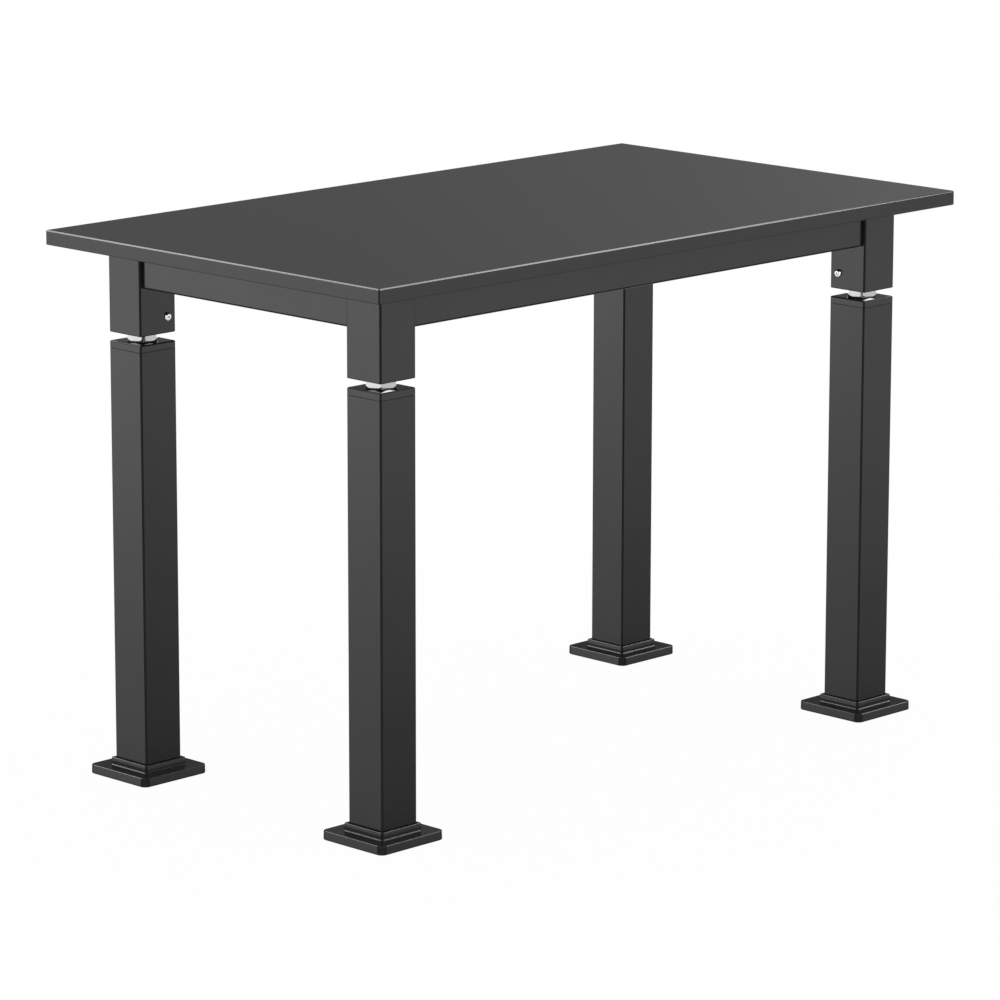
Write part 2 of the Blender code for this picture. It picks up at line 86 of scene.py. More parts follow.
# Cap of the lower leg
CAP_FLANGE = 0.0095
CAP_EDGE_RADIUS = 0.0020
CAP_LOWER_BREAK = 0.0002
CAP_SKIRT_WALL = 0.004

# Foot
FOOT_BASE = 0.0120
FOOT_CORNER_RADIUS = 0.009
FOOT_EDGE_RADIUS = 0.0010
FOOT_BOTTOM_RADIUS = 0.0018
FOOT_COLLAR_WALL = 0.0044
FOOT_COLLAR_RADIUS = 0.003
FOOT_COLLAR_EDGE = 0.0009
FOOT_FILLET = 0.0012
FOOT_MOUTH = 0.0020
FOOT_FLOOR = 0.006
FOOT_DRAFT = 0.0003
FOOT_COLLAR_DRAFT = 0.0004

# Nut, spindle and the bore of nut and cap
NUT_ACROSS_FLATS = 0.0381
NUT_CHAMFER_ANGLE = math.radians(52)
NUT_FACE_INSET = 0.0004
NUT_CROWN = 0.0005
NUT_CORNER_DIRECTION = math.radians(225)
NUT_COUNTERSINK = 0.0012
BORE_RADIUS = 0.0131
THREAD_PITCH = 0.00508
THREAD_DEPTH = 0.0026
THREAD_CREST = 0.0019
THREAD_BASE = 0.0033
THREAD_SINK = 0.0004
SPINDLE_RADIUS = 0.0127
SPINDLE_CHAMFER = 0.0015
SPINDLE_FLANGE_THICKNESS = 0.008

# Screws
Screw = namedtuple("Screw", "head_radius head_height rim socket_flats socket_depth shank_radius")
PLUG_SCREW = Screw(0.0054, 0.0033, 0.0007, 0.0040, 0.0020, 0.0030)
TOP_SCREW = Screw(0.00475, 0.0028, 0.0006, 0.0030, 0.0016, 0.0025)
SCREW_CROWN_RIM = 0.0006
SCREW_TIP_CHAMFER = 0.0006

# Facets of the lofts
SMALLEST_RADIUS = 0.0002
WELD_DISTANCE = 0.000001
CORNER_POINTS = 10
NUT_POINTS = 96
SCREW_POINTS = 48
EDGE_STEPS = 6
THREAD_STEPS = 32
SMOOTH_ANGLE = math.radians(28)

# Coats: dark and light colour, roughness and its spread, scale and depth of the grain, specular level
COATS = {
    "worktop_resin": ((0.016, 0.016, 0.0165), (0.020, 0.020, 0.0206), 0.19, 0.01, 1500, 0.00001, 0.66),
    "frame_paint": ((0.014, 0.014, 0.0145), (0.018, 0.018, 0.0186), 0.18, 0.02, 1100, 0.000008, 0.8),
    "moulded_black": ((0.016, 0.016, 0.0165), (0.021, 0.021, 0.0216), 0.14, 0.02, 1800, 0.000003, 0.7),
    "guide_nylon": ((0.64, 0.62, 0.56), (0.72, 0.70, 0.64), 0.48, 0.05, 900, 0.00003, 0.8),
}
COAT_CLOUD_SCALE = 9.0
COAT_CLOUD_DETAIL = 4.0
GRAIN_DETAIL = 1.0
GRAIN_STRENGTH = 0.5

# Metals: dark and light colour, roughness and its spread, scale and depth of the streaks
METALS = {
    "bright_plating": ((0.74, 0.75, 0.76), (0.84, 0.84, 0.85), 0.10, 0.04, 900, 0.00001),
    "spindle_steel": ((0.42, 0.42, 0.43), (0.58, 0.58, 0.59), 0.28, 0.06, 700, 0.00002),
    "plug_alloy": ((0.50, 0.50, 0.51), (0.62, 0.62, 0.63), 0.45, 0.08, 400, 0.00006),
}
METAL_CLOUD_SCALE = 60.0
METAL_CLOUD_DETAIL = 3.0
STREAK_DETAIL = 2.0
STREAK_STRETCH = (1, 1, 0.08)
STREAK_STRENGTH = 0.3
BRIGHT_SLOT = "bright_plating"

# Stretch of a noise value that is spread over the whole of a colour or roughness range
NOISE_RANGE = (0.3, 0.7)

# Floor sheet: half its side, where it starts and ends to fade, and its share in the picture
FLOOR_HALF = 4.0
FLOOR_CLEAR = 0.80
FLOOR_END = 1.60
FLOOR_SHARE = 0.02
FLOOR_COLOUR = (0.80, 0.80, 0.80, 1)

# Room that reflections see, with the stretches of depth (-1 before, 1 behind the table) and of rise
# (-1 below, 1 above) over which one level passes into the next
WHITE = (1, 1, 1, 1)
WORLD_FILL = 0.80
WALLS_FRONT = 0.10
WALLS_BACK = 0.08
BELOW_FRONT = 0.06
BELOW_BACK = 0.015
FRONT_TO_BACK = (-0.9, -0.5)
BELOW_TO_WALLS = (-0.1, 0.1)
ABOVE = 0.25
WALLS_TO_ABOVE = (0.35, 0.8)
BELOW_BEHIND = 0.28
BEHIND_DEPTH = (0.35, 0.6)
BEHIND_RISE = (-0.1, 0.0)
BELOW_STEEP = 0.30
STEEP_DEPTH = (-0.62, -0.45)
STEEP_RISE = (-0.38, -0.32)

# Lights: place, facing, width and height, then the radiance that a mirror would show, as one number
# or at heights from 0 to 1, and for some its share from right (0) to left (1)
SOFTBOXES = {
    "left_panel": (
        (-10.45, 10.0, 1.0), (0, -1, 0), (6.9, 12.0),
        [(0, 0.37), (0.08, 0.45), (0.13, 0.54), (0.18, 0.72), (0.225, 0.98), (0.255, 1.29),
         (0.30, 1.46), (0.35, 1.35), (0.42, 0.8), (0.5, 0.35), (1, 0.28)],
        [(0, 0.90), (0.3, 0.92), (0.45, 1.0), (0.65, 1.12), (1, 1.12)],
    ),
    "right_panel_near": (
        (10.0, -11.8, 1.0), (-1, 0, 0), (4.0, 12.0),
        [(0, 0.04), (0.08, 0.18), (0.14, 0.355), (0.20, 0.60), (0.245, 0.75), (0.285, 0.76),
         (0.35, 0.70), (0.42, 0.45), (0.5, 0.32), (1, 0.26)],
        [(0, 1.15), (0.5, 1.12), (0.7, 1.0), (1, 0.97)],
    ),
    "right_panel_far": (
        (10.0, -8.25, 1.0), (-1, 0, 0), (3.1, 12.0),
        [(0, 0.02), (0.08, 0.05), (0.15, 0.17), (0.21, 0.41), (0.26, 0.595), (0.285, 0.64),
         (0.35, 0.62), (0.42, 0.45), (0.5, 0.32), (1, 0.26)],
    ),
    "rear_panel": (FORWARD * 12 - UP * 2.9, -FORWARD, (9.0, 6.2), [(0, 0.40), (0.8, 0.40), (1, 0.2)]),
    "back_wall": (
        FORWARD * 2.6 + UP * 1.55, -FORWARD, (3.2, 1.4), 1.0,
        [(0, 0.306), (0.26, 0.187), (0.34, 0.148), (0.42, 0.123), (0.58, 0.093), (0.66, 0.088),
         (1, 0.086)],
    ),
}

# Rim lights for the edges of the worktop, then for these and the bright fittings
LOW_RIMS = {
    "left_rim_low": ((-2.25, 2.0, 1.52), (0, -1, 0), (1.5, 0.95), 7.5),
    "right_rim_low": ((2.0, -2.25, 1.6), (-1, 0, 0), (1.9, 1.2), 7.5),
}
HIGH_RIMS = {
    "left_rim_high": ((-0.95, 2.0, 2.6), (0, -1, 0), (2.3, 1.2), 5.5),
    "right_rim_high": ((2.0, -1.1, 2.85), (-1, 0, 0), (3.0, 1.3), 5.5),
}

# Far rim lights for the edges of the feet, then for the caps
FAR_LEFT = ((-2.0, 10.0, 10.4), (0, -1, 0), (9.0, 6.2))
FAR_RIGHT = ((10.0, -2.0, 10.4), (-1, 0, 0), (9.0, 6.2))
FOOT_RIMS = {
    "left_rim_far": (*FAR_LEFT, 5.5),
    "right_rim_far": (*FAR_RIGHT, 5.5),
    "right_rim_under": ((10.0, -9.0, 6.2), (-1, 0, 0), (5.0, 3.6), 4.0),
}
CAP_RIMS = {
    "left_rim_cap": (*FAR_LEFT, 2.6),
    "right_rim_cap": (*FAR_RIGHT, 2.2),
}

# White room of four walls and a floor for the bright fittings
CARD_SIZE = (5.0, 2.4)
FITTING_CARDS = {
    "left_card": (
        (-2.5, 0, 1.2), (1, 0, 0), CARD_SIZE, [(0, 0.92), (0.25, 0.92), (0.4, 0.55), (1, 0.55)]
    ),
    "front_card": (
        (0, -2.5, 1.2), (0, 1, 0), CARD_SIZE, [(0, 0.60), (0.25, 0.60), (0.4, 3.5), (1, 3.5)]
    ),
    "right_card": ((2.5, 0, 1.2), (-1, 0, 0), CARD_SIZE, [(0, 0.85), (1, 0.9)]),
    "rear_card": ((0, 2.5, 1.2), (0, -1, 0), CARD_SIZE, [(0, 0.75), (1, 0.8)]),
    "floor_card": ((0, 0, -0.01), (0, 0, 1), (5.0, 5.0), 0.75),
}

# Dim cards for the tops of the two front caps: name and radiance by corner
CAP_CARDS = {
    "front_left": ("left_cap_card", 0.088),
    "front_right": ("right_cap_card", 0.072),
}
CAP_CARD_SIZE = (0.5, 0.13)
CAP_CARD_DISTANCE = 0.3
CAP_CARD_HEIGHT = 0.625

# Corner whose cap the back wall doesn't light
CORNER_WITHOUT_WALL = "front_right"

# Lights, and the group of pieces that alone sees them, or None where all pieces do
LIGHT_GROUPS = [
    (SOFTBOXES, None),
    (LOW_RIMS, "top_pieces"),
    (HIGH_RIMS, "rim_pieces"),
    (FOOT_RIMS, "foot_pieces"),
    (FITTING_CARDS, "bright_pieces"),
    (CAP_RIMS, "cap_pieces"),
]
GROUP_NAMES = (
    "bright_pieces", "top_pieces", "rim_pieces", "foot_pieces", "cap_pieces", "card_pieces",
    "wall_spared",
)


# Outlines, as lists of (x, y) that run counter-clockwise
def rounded_outline(half_x, half_y, radius):
    radius = min(max(radius, SMALLEST_RADIUS), half_x, half_y)
    outline = []
    for corner in range(4):
        start = corner * math.pi / 2
        middle = start + math.pi / 4
        centre_x = math.copysign(half_x - radius, math.cos(middle))
        centre_y = math.copysign(half_y - radius, math.sin(middle))
        for step in range(CORNER_POINTS):
            turn = start + math.pi / 2 * step / (CORNER_POINTS - 1)
            outline.append((centre_x + radius * math.cos(turn), centre_y + radius * math.sin(turn)))
    return outline


def rounded_square(half, radius):
    return rounded_outline(half, half, radius)


def circle(radius, count, start=0.0):
    turns = [start + 2 * math.pi * step / count for step in range(count)]
    return [(radius * math.cos(turn), radius * math.sin(turn)) for turn in turns]


def hexagon(across_flats, count, corner_direction=0.0, crown=0.0):
    """Hexagon whose flats fall away by the crown towards the corners."""
    outline = []
    for step in range(count):
        turn = 2 * math.pi * step / count
        from_middle = turn % (math.pi / 3) - math.pi / 6
        along = math.tan(from_middle) / math.tan(math.pi / 6)
        radius = (across_flats / 2 - crown * along ** 2) / math.cos(from_middle)
        turn += corner_direction
        outline.append((radius * math.cos(turn), radius * math.sin(turn)))
    return outline


def at_level(outline, level):
    return [(x, y, level) for x, y in outline]


def edge_arc(radius):
    """Inset and rise along a quarter round, from the wall to the flat."""
    turns = [math.pi / 2 * step / EDGE_STEPS for step in range(EDGE_STEPS + 1)]
    return [(radius * (1 - math.cos(turn)), radius * math.sin(turn)) for turn in turns]


def upper_round(outline, top, radius):
    """Loops up a rounded upper edge, where outline is a function of the inset."""
    return [at_level(outline(inset), top - radius + rise) for inset, rise in edge_arc(radius)]


def lower_round(outline, bottom, radius):
    """Loops up a rounded lower edge, where outline is a function of the inset."""
    arc = reversed(edge_arc(radius))
    return [at_level(outline(inset), bottom + radius - rise) for inset, rise in arc]


# Meshes
def skin(shape, loops, ring=False, capped=True):
    """Faces over loops of equal count: up the outside first, then down the inside."""
    rows = [[shape.verts.new(point) for point in loop] for loop in loops]
    pairs = list(zip(rows, rows[1:]))
    if ring:
        pairs.append((rows[-1], rows[0]))
    elif capped:
        shape.faces.new(list(reversed(rows[0])))
        shape.faces.new(rows[-1])
    for low, high in pairs:
        for here in range(len(low)):
            after = (here + 1) % len(low)
            shape.faces.new((low[here], low[after], high[after], high[here]))


def finish_mesh(shape, name):
    mesh = bpy.data.meshes.new(name)
    shape.to_mesh(mesh)
    shape.free()
    mesh.shade_smooth()
    mesh.set_sharp_from_angle(angle=SMOOTH_ANGLE)
    return mesh


def loft(name, loops, ring=False):
    shape = bmesh.new()
    skin(shape, loops, ring)
    return finish_mesh(shape, name)


def loft_with_edges(name, runs):
    """Closed loft of runs of loops, as two meshes: the runs marked as edges, and all the rest."""
    rest = bmesh.new()
    edges = bmesh.new()
    for (is_edge, loops), (_, following) in zip(runs, runs[1:] + [(False, None)]):
        skin(edges if is_edge else rest, loops, capped=False)
        if following is not None:
            skin(rest, [loops[-1], following[0]], capped=False)
    first = [rest.verts.new(point) for point in runs[0][1][0]]
    rest.faces.new(list(reversed(first)))
    last = [rest.verts.new(point) for point in runs[-1][1][-1]]
    rest.faces.new(last)
    bmesh.ops.remove_doubles(rest, verts=rest.verts, dist=WELD_DISTANCE)
    return finish_mesh(rest, name), finish_mesh(edges, name + "_edges")


# Pieces and the nodes they stand for
def body_of_node(node):
    for body, members in frame["record"]["behaviour"]["bodies"].items():
        if node in members:
            return body
    raise KeyError(node)


def slot_of_node(node):
    for row in frame["record"]["subparts"]:
        if row["node"] == node:
            return row["material_slot"]
    raise KeyError(node)


def middle_of(node):
    low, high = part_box(node)
    return (low + high) / 2


def axis_of(node):
    """Where the node's own vertical axis meets the floor."""
    middle = middle_of(node)
    return Vector((middle.x, middle.y, 0))


def half_width_of(node):
    low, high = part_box(node)
    return (high.x - low.x) / 2


def dress(node, mesh, location, outward=None, groups=()):
    """Show this mesh in place of a CAD node, on its body, in its finish and in these light groups."""
    piece = bpy.data.objects.new(mesh.name, mesh)
    piece.location = location
    if outward is not None:
        piece.rotation_mode = "QUATERNION"
        piece.rotation_quaternion = UP.rotation_difference(Vector(outward))
    bpy.context.scene.collection.objects.link(piece)
    even = piece.modifiers.new("even_normals", "WEIGHTED_NORMAL")
    even.keep_sharp = True
    slot = slot_of_node(node)
    mesh.materials.append(MATERIALS[slot])
    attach(piece, body_of_node(node))
    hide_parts(node)
    if slot == BRIGHT_SLOT:
        groups = ("bright_pieces", "rim_pieces")
    for group in groups:
        PIECES[group].objects.link(piece)
    return piece


# Node trees
def feed(tree, value, socket):
    """Link another node's output to this socket, or set the socket to a plain value."""
    if isinstance(value, bpy.types.NodeSocket):
        tree.links.new(value, socket)
    else:
        socket.default_value = value


def maths(tree, operation, first, second):
    node = tree.nodes.new("ShaderNodeMath")
    node.operation = operation
    feed(tree, first, node.inputs[0])
    feed(tree, second, node.inputs[1])
    return node.outputs["Value"]


def map_value(tree, value, low, high, stretch, interpolation="LINEAR"):
    """Pass from low to high while the value runs over the stretch."""
    node = tree.nodes.new("ShaderNodeMapRange")
    node.interpolation_type = interpolation
    node.inputs["From Min"].default_value = stretch[0]
    node.inputs["From Max"].default_value = stretch[1]
    feed(tree, low, node.inputs["To Min"])
    feed(tree, high, node.inputs["To Max"])
    tree.links.new(value, node.inputs["Value"])
    return node.outputs["Result"]


def colour_ramp(tree, value, stops):
    """Colour at each given position from 0 to 1."""
    ramp = tree.nodes.new("ShaderNodeValToRGB")
    elements = ramp.color_ramp.elements
    while len(elements) < len(stops):
        elements.new(1.0)
    for element, (position, colour) in zip(elements, stops):
        element.position = position
        element.color = (*colour, 1)
    tree.links.new(value, ramp.inputs["Fac"])
    return ramp.outputs["Color"]


def noise(tree, scale, detail, stretch=(1, 1, 1)):
    place = tree.nodes.new("ShaderNodeTexCoord")
    mapping = tree.nodes.new("ShaderNodeMapping")
    mapping.inputs["Scale"].default_value = stretch
    tree.links.new(place.outputs["Object"], mapping.inputs["Vector"])
    texture = tree.nodes.new("ShaderNodeTexNoise")
    texture.inputs["Scale"].default_value = scale
    texture.inputs["Detail"].default_value = detail
    tree.links.new(mapping.outputs["Vector"], texture.inputs["Vector"])
    return texture.outputs["Fac"]


def bump(tree, height, strength, distance):
    node = tree.nodes.new("ShaderNodeBump")
    node.inputs["Strength"].default_value = strength
    node.inputs["Distance"].default_value = distance
    tree.links.new(height, node.inputs["Height"])
    return node.outputs["Normal"]


def mix_shaders(tree, share, first, second):
    node = tree.nodes.new("ShaderNodeMixShader")
    tree.links.new(share, node.inputs["Fac"])
    tree.links.new(first, node.inputs[1])
    tree.links.new(second, node.inputs[2])
    return node.outputs["Shader"]


def white_background(tree, strength):
    node = tree.nodes.new("ShaderNodeBackground")
    node.inputs["Color"].default_value = WHITE
    feed(tree, strength, node.inputs["Strength"])
    return node.outputs["Background"]


# Materials
def new_material(name, colour, roughness, metallic=0.0):
    material = bpy.data.materials.new(name)
    material.use_nodes = True
    tree = material.node_tree
    shader = tree.nodes["Principled BSDF"]
    shader.inputs["Base Color"].default_value = (*colour, 1)
    shader.inputs["Roughness"].default_value = roughness
    shader.inputs["Metallic"].default_value = metallic
    return material, tree, shader


def vary(tree, shader, colour_noise, dark, light, gloss_noise, roughness, spread):
    """Let one noise mix the colour and one the roughness."""
    first, last = NOISE_RANGE
    colour = colour_ramp(tree, colour_noise, [(first, dark), (last, light)])
    gloss = map_value(tree, gloss_noise, roughness - spread, roughness + spread, NOISE_RANGE)
    tree.links.new(colour, shader.inputs["Base Color"])
    tree.links.new(gloss, shader.inputs["Roughness"])


def coated(name, dark, light, roughness, spread, grain_scale, grain_depth, specular):
    """Paint, resin or nylon: cloudy colour and gloss over a fine grain."""
    material, tree, shader = new_material(name, dark, roughness)
    clouds = noise(tree, COAT_CLOUD_SCALE, COAT_CLOUD_DETAIL)
    grain = noise(tree, grain_scale, GRAIN_DETAIL)
    vary(tree, shader, clouds, dark, light, clouds, roughness, spread)
    tree.links.new(bump(tree, grain, GRAIN_STRENGTH, grain_depth), shader.inputs["Normal"])
    shader.inputs["Specular IOR Level"].default_value = specular
    return material


def plated(name, dark, light, roughness, spread, streak_scale, streak_depth):
    """Bright metal: cloudy colour, with faint streaks of polish and of gloss."""
    material, tree, shader = new_material(name, light, roughness, metallic=1.0)
    clouds = noise(tree, METAL_CLOUD_SCALE, METAL_CLOUD_DETAIL)
    streaks = noise(tree, streak_scale, STREAK_DETAIL, STREAK_STRETCH)
    vary(tree, shader, clouds, dark, light, streaks, roughness, spread)
    tree.links.new(bump(tree, streaks, STREAK_STRENGTH, streak_depth), shader.inputs["Normal"])
    return material


def make_materials():
    materials = {slot: coated(slot, *settings) for slot, settings in COATS.items()}
    materials.update({slot: plated(slot, *settings) for slot, settings in METALS.items()})
    return materials


# Worktop and rails
def make_worktop():
    low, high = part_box("worktop")
    half = (high - low) / 2
    thickness = high.z - low.z

    def outline(inset):
        return rounded_outline(half.x - inset, half.y - inset, TOP_CORNER_RADIUS - inset)

    lower = lower_round(outline, 0, TOP_LOWER_RADIUS)
    upper = upper_round(outline, thickness, TOP_EDGE_RADIUS)
    slab, edges = loft_with_edges("worktop_look", [(False, lower), (True, upper), (False, upper[-1:])])
    dress("worktop", slab, (0, 0, low.z))
    dress("worktop", edges, (0, 0, low.z), groups=("top_pieces", "rim_pieces"))


def tube_loops(half_x, half_y, radius, wall, low, high, low_round, high_round):
    """Outside from low to high, then inside back down, with a small round at each end."""
    def outer(inset):
        return rounded_outline(half_x - inset, half_y - inset, radius - inset)

    inner = outer(wall)
    loops = lower_round(outer, low, low_round) + upper_round(outer, high, high_round)
    return loops + [at_level(inner, high), at_level(inner, low)]


def make_rails():
    for node in RAILS:
        low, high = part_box(node)
        half = (high - low) / 2
        along_x = half.x > half.y
        half_length = max(half.x, half.y)
        half_thickness = min(half.x, half.y)
        loops = tube_loops(
            half.z, half_thickness, RAIL_CORNER_RADIUS, RAIL_WALL, -half_length, half_length,
            RAIL_END_RADIUS, RAIL_END_RADIUS
        )
        piece = dress(node, loft(node + "_look", loops, ring=True), middle_of(node))
        piece.rotation_euler = (0, math.pi / 2, 0 if along_x else math.pi / 2)


# Pieces of one leg, each lofted around the leg's own axis
def make_tube(node):
    low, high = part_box(node)
    half = half_width_of(node)
    loops = tube_loops(
        half, half, LEG_CORNER_RADIUS, LEG_WALL, low.z, high.z, TUBE_BOTTOM_RADIUS, TUBE_TOP_RADIUS
    )
    dress(node, loft(node + "_look", loops, ring=True), axis_of(node))


def make_cap(node, groups):
    """Flange with rounded edges on the tube, with its hollow skirt below."""
    low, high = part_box(node)
    half = half_width_of(node)
    seat = high.z - CAP_FLANGE
    skirt_half = half - LEG_WALL - FIT_GAP
    skirt = rounded_square(skirt_half, LEG_CORNER_RADIUS)
    pocket = rounded_square(skirt_half - CAP_SKIRT_WALL, LEG_CORNER_RADIUS)
    count = 4 * CORNER_POINTS
    bore = circle(BORE_RADIUS, count, math.pi / count)

    def flange(inset):
        return rounded_square(half - inset, LEG_CORNER_RADIUS - inset)

    loops = [
        at_level(skirt, low.z),
        at_level(skirt, seat),
        at_level(rounded_square(half - CAP_LOWER_BREAK, LEG_CORNER_RADIUS), seat),
        at_level(rounded_square(half, LEG_CORNER_RADIUS), seat + CAP_LOWER_BREAK),
        *upper_round(flange, high.z, CAP_EDGE_RADIUS),
        at_level(bore, high.z),
        at_level(bore, seat),
        at_level(pocket, seat),
        at_level(pocket, low.z),
    ]
    dress(node, loft(node + "_look", loops, ring=True), axis_of(node), groups=groups)


def make_foot(node, leg_half):
    """Rounded base, then a collar that grows out of it with a small fillet."""
    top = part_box(node)[1].z
    base_half = half_width_of(node)
    socket_half = leg_half + FIT_GAP
    collar_half = socket_half + FOOT_COLLAR_WALL

    def base(inset):
        return rounded_square(base_half - inset, FOOT_CORNER_RADIUS - inset)

    def drafted_base(inset):
        return base(inset + FOOT_DRAFT)

    def collar(inset):
        return rounded_square(collar_half - inset, FOOT_COLLAR_RADIUS - inset)

    def drafted_collar(inset):
        return collar(inset + FOOT_COLLAR_DRAFT)

    sole = lower_round(base, 0, FOOT_BOTTOM_RADIUS)
    base_edge = upper_round(drafted_base, FOOT_BASE, FOOT_EDGE_RADIUS)
    fillet = [at_level(collar(closing - FOOT_FILLET), FOOT_BASE + climb)
              for climb, closing in edge_arc(FOOT_FILLET)]
    collar_edge = upper_round(drafted_collar, top, FOOT_COLLAR_EDGE)
    socket = rounded_square(socket_half, LEG_CORNER_RADIUS)
    mouth = rounded_square(socket_half + FOOT_MOUTH, LEG_CORNER_RADIUS + FOOT_MOUTH)
    pocket = [at_level(mouth, top), at_level(socket, top - FOOT_MOUTH), at_level(socket, FOOT_FLOOR)]
    runs = [(False, sole), (True, base_edge), (True, fillet), (True, collar_edge), (False, pocket)]
    body, edges = loft_with_edges(node + "_look", runs)
    dress(node, body, axis_of(node))
    dress(node, edges, axis_of(node), groups=("foot_pieces",))


def make_nut(node):
    """Hex nut whose corners are cut back by a cone at both ends, with a countersunk bore."""
    low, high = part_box(node)
    face_radius = NUT_ACROSS_FLATS / 2 - NUT_FACE_INSET
    flats = hexagon(NUT_ACROSS_FLATS, NUT_POINTS, NUT_CORNER_DIRECTION, NUT_CROWN)
    drops = [(math.hypot(x, y) - face_radius) * math.tan(NUT_CHAMFER_ANGLE) for x, y in flats]
    face = circle(face_radius, NUT_POINTS, NUT_CORNER_DIRECTION)
    mouth = circle(BORE_RADIUS + NUT_COUNTERSINK, NUT_POINTS, NUT_CORNER_DIRECTION)
    bore = circle(BORE_RADIUS, NUT_POINTS, NUT_CORNER_DIRECTION)
    loops = [
        at_level(face, low.z),
        [(x, y, low.z + drop) for (x, y), drop in zip(flats, drops)],
        [(x, y, high.z - drop) for (x, y), drop in zip(flats, drops)],
        at_level(face, high.z),
        at_level(mouth, high.z),
        at_level(bore, high.z - NUT_COUNTERSINK),
        at_level(bore, low.z + NUT_COUNTERSINK),
        at_level(mouth, low.z),
    ]
    dress(node, loft(node + "_look", loops, ring=True), axis_of(node))


def make_spindle(node, thread_low, thread_high):
    """Shaft at the thread's root, its end flange, and one long ridge wound round it."""
    low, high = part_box(node)
    flange = half_width_of(node)
    flange_top = low.z + SPINDLE_FLANGE_THICKNESS
    root = SPINDLE_RADIUS - THREAD_DEPTH
    profile = [
        (flange - SPINDLE_CHAMFER, low.z),
        (flange, low.z + SPINDLE_CHAMFER),
        (flange, flange_top),
        (SPINDLE_RADIUS, flange_top),
        (SPINDLE_RADIUS, thread_low - SPINDLE_CHAMFER),
        (root, thread_low),
        (root, thread_high),
        (SPINDLE_RADIUS, thread_high + SPINDLE_CHAMFER),
        (SPINDLE_RADIUS, high.z - SPINDLE_CHAMFER),
        (SPINDLE_RADIUS - SPINDLE_CHAMFER, high.z),
    ]
    shape = bmesh.new()
    skin(shape, [at_level(circle(radius, THREAD_STEPS), level) for radius, level in profile])

    half_base = THREAD_BASE / 2
    half_crest = THREAD_CREST / 2
    section = [
        (root - THREAD_SINK, -half_base),
        (SPINDLE_RADIUS, -half_crest),
        (SPINDLE_RADIUS, half_crest),
        (root - THREAD_SINK, half_base),
    ]
    turns = (thread_high - thread_low - THREAD_BASE) / THREAD_PITCH
    loops = []
    for step in range(int(turns * THREAD_STEPS) + 1):
        turn = 2 * math.pi * step / THREAD_STEPS
        level = thread_low + half_base + THREAD_PITCH * step / THREAD_STEPS
        along = Vector((math.cos(turn), math.sin(turn), 0))
        loops.append([along * radius + UP * (level + rise) for radius, rise in section])
    skin(shape, loops)
    bmesh.ops.recalc_face_normals(shape, faces=shape.faces)
    dress(node, finish_mesh(shape, node + "_look"), axis_of(node))


def screw_loft(name, shank, screw):
    """Button-head socket screw along +Z, with the seat of its head at zero."""
    crown_radius = screw.socket_flats / 2 / math.cos(math.pi / 6) + SCREW_CROWN_RIM
    dome_width = screw.head_radius - crown_radius
    dome_height = screw.head_height - screw.rim
    profile = [
        (screw.shank_radius - SCREW_TIP_CHAMFER, -shank),
        (screw.shank_radius, -shank + SCREW_TIP_CHAMFER),
        (screw.shank_radius, 0),
        (screw.head_radius, 0),
        (screw.head_radius, screw.rim),
    ]
    for step in range(1, EDGE_STEPS + 1):
        turn = math.pi / 2 * step / EDGE_STEPS
        across = crown_radius + dome_width * math.cos(turn)
        profile.append((across, screw.rim + dome_height * math.sin(turn)))
    loops = [at_level(circle(radius, SCREW_POINTS), level) for radius, level in profile]
    socket = hexagon(screw.socket_flats, SCREW_POINTS)
    socket_floor = screw.head_height - screw.socket_depth
    loops += [at_level(socket, screw.head_height), at_level(socket, socket_floor)]
    return loft(name, loops)


def make_screw(node, outward, screw):
    """Dress a screw whose head looks along outward, an axis direction."""
    low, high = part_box(node)
    out = Vector(outward)
    extent = high - low
    length = abs(extent.dot(out))
    seat = middle_of(node) + out * length / 2 - out * screw.head_height
    dress(node, screw_loft(node + "_look", length - screw.head_height, screw), seat, outward)


def cap_groups(corner):
    """Light groups that the cap at this corner belongs to."""
    groups = ["cap_pieces"]
    if corner in CAP_CARDS:
        groups.append("card_pieces")
    if corner == CORNER_WITHOUT_WALL:
        groups.append("wall_spared")
    return groups


def make_leg(corner):
    make_tube("upper_leg_" + corner)
    make_tube("lower_leg_" + corner)
    make_cap("leg_cap_" + corner, cap_groups(corner))
    make_foot("foot_" + corner, half_width_of("lower_leg_" + corner))
    make_nut("height_nut_" + corner)
    thread_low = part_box("spindle_guide_" + corner)[1].z
    thread_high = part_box("spindle_plug_" + corner)[0].z
    make_spindle("spindle_" + corner, thread_low + SPINDLE_CHAMFER, thread_high - SPINDLE_CHAMFER)
    axis = axis_of("lower_leg_" + corner)
    make_screw("plug_screw_side_" + corner, (0, -math.copysign(1, axis.y), 0), PLUG_SCREW)
    make_screw("plug_screw_end_" + corner, (-math.copysign(1, axis.x), 0, 0), PLUG_SCREW)
    make_screw("top_screw_" + corner, (0, 0, -1), TOP_SCREW)


def finish_cad_nodes():
    """The nodes that still show take the same finishes."""
    for name, node in frame["nodes"].items():
        node.data.materials.clear()
        node.data.materials.append(MATERIALS[slot_of_node(name)])


# Studio
def stops_of(values):
    """One number as the same value at both ends, or the list of stops as it is."""
    return values if isinstance(values, list) else [(0, values), (1, values)]


def grey_ramp(tree, value, stops, peak):
    """Grey at each given position, as a share of the peak."""
    return colour_ramp(tree, value, [(position, [level / peak] * 3) for position, level in stops])


